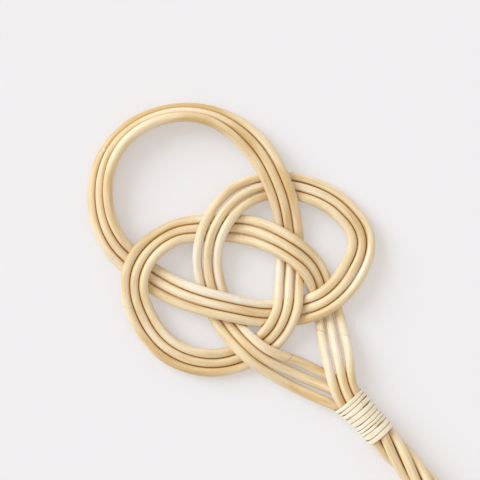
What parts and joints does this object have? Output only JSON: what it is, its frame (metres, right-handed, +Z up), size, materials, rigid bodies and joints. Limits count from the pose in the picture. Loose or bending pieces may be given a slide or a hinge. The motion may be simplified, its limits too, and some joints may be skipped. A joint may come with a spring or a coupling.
{
  "type": "carpet beater",
  "caption": "Rattan carpet beater: parallel canes tied into an open looped knot, twisted into a handle and bound with flat peel at neck and butt.",
  "frame": {"origin": "middle of the butt's end face, on the handle's axis", "axes": "+Y along the handle to the head, +Z up from the surface that the beater lies on, +X to the right"},
  "size_m": [0.2164, 0.5795, 0.027],
  "materials": {
    "cane": "smooth natural rattan cane, slightly glossy",
    "peel": "pale flat rattan peel, satin"
  },
  "bodies": {
    "root": {"cane_outer": "cane", "cane_middle": "cane", "cane_inner": "cane", "neck_binding": "peel", "butt_binding": "peel"}
  },
  "joints": []
}
